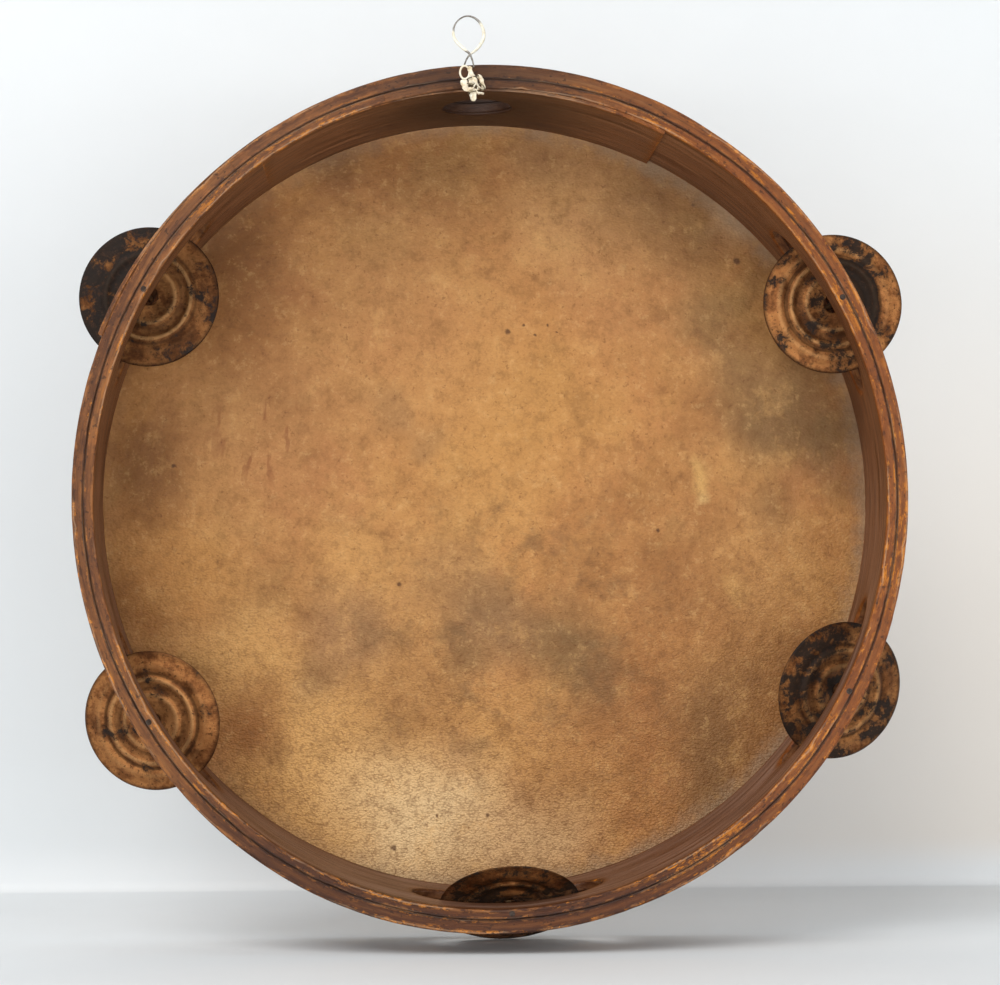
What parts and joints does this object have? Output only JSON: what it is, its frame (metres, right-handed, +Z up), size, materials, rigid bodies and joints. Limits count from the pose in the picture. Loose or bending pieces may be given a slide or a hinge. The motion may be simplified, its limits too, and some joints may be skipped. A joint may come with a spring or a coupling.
{
  "type": "tambourine",
  "caption": "Hand tambourine: a bent-wood hoop with a skin head, pairs of loose cupped brass jingles on nails in slots, a thumb hole and a wire hanging loop.",
  "frame": {"origin": "centre of the drumhead's outer face", "axes": "+Y along the drum's axis, out of the head (the open side faces -Y); +Z up towards the thumb hole and the hanging loop; +X to the right seen from the open side"},
  "size_m": [0.2593, 0.0562, 0.2855],
  "materials": {
    "hoop_wood": "worn dark varnish over bent wood",
    "skin": "aged stained rawhide",
    "jingle_brass": "heavily patinated",
    "pin_steel": "dulled",
    "tack_brass": "aged",
    "hanger": "yellowed coating on wire"
  },
  "bodies": {
    "hoop": {"inner_ply": "hoop_wood", "outer_ply": "hoop_wood", "drumhead": "skin", "head_tacks": "tack_brass", "lap_brads": "pin_steel", "hanging_tack": "tack_brass", "hanging_wire": "hanger", "hanging_knot": "hanger", "pin_upper_right": "pin_steel", "pin_upper_left": "pin_steel", "pin_lower_left": "pin_steel", "pin_bottom": "pin_steel", "pin_lower_right": "pin_steel"},
    "back_jingle_upper_right": {"jingle_back_upper_right": "jingle_brass"},
    "front_jingle_upper_right": {"jingle_front_upper_right": "jingle_brass"},
    "back_jingle_upper_left": {"jingle_back_upper_left": "jingle_brass"},
    "front_jingle_upper_left": {"jingle_front_upper_left": "jingle_brass"},
    "back_jingle_lower_left": {"jingle_back_lower_left": "jingle_brass"},
    "front_jingle_lower_left": {"jingle_front_lower_left": "jingle_brass"},
    "back_jingle_bottom": {"jingle_back_bottom": "jingle_brass"},
    "front_jingle_bottom": {"jingle_front_bottom": "jingle_brass"},
    "back_jingle_lower_right": {"jingle_back_lower_right": "jingle_brass"},
    "front_jingle_lower_right": {"jingle_front_lower_right": "jingle_brass"}
  },
  "joints": [
    {"name": "rock_upper_right", "type": "hinge", "parent": "hoop", "child": "back_jingle_upper_right", "pos_m": [0.10783, -0.0266, 0.06126], "axis": [-0.4939, 0, 0.8695], "range_deg": [-30, 30]},
    {"name": "clap_upper_right", "type": "slide", "parent": "back_jingle_upper_right", "child": "front_jingle_upper_right", "axis": [0.0195, 0.9997, 0.0111], "range_m": [-0.0005, 0.0005]},
    {"name": "rock_upper_left", "type": "hinge", "parent": "hoop", "child": "back_jingle_upper_left", "pos_m": [-0.10568, -0.0266, 0.06325], "axis": [-0.5135, 0, -0.8581], "range_deg": [-34, 25]},
    {"name": "clap_upper_left", "type": "slide", "parent": "back_jingle_upper_left", "child": "front_jingle_upper_left", "axis": [-0.0179, 0.9998, 0.0107], "range_m": [-0.0005, 0.0005]},
    {"name": "rock_lower_left", "type": "hinge", "parent": "hoop", "child": "back_jingle_lower_left", "pos_m": [-0.10446, -0.02637, -0.0681], "axis": [0.5461, 0, -0.8377], "range_deg": [-37, 13]},
    {"name": "clap_lower_left", "type": "slide", "parent": "back_jingle_lower_left", "child": "front_jingle_lower_left", "axis": [-0.0152, 0.9998, -0.0099], "range_m": [-0.0005, 0.0005]},
    {"name": "rock_bottom", "type": "hinge", "parent": "hoop", "child": "back_jingle_bottom", "pos_m": [0.00544, -0.0294, -0.12467], "axis": [0.999, 0, 0.0436], "range_deg": [-44, 0]},
    {"name": "clap_bottom", "type": "slide", "parent": "back_jingle_bottom", "child": "front_jingle_bottom", "axis": [-0.0016, 0.9993, 0.0378], "range_m": [-0.0005, 0.0005]},
    {"name": "rock_lower_right", "type": "hinge", "parent": "hoop", "child": "back_jingle_lower_right", "pos_m": [0.10922, -0.02627, -0.0598], "axis": [0.4802, 0, 0.8771], "range_deg": [-40, 8]},
    {"name": "clap_lower_right", "type": "slide", "parent": "back_jingle_lower_right", "child": "front_jingle_lower_right", "axis": [0.0207, 0.9997, -0.0113], "range_m": [-0.0005, 0.0005]}
  ]
}
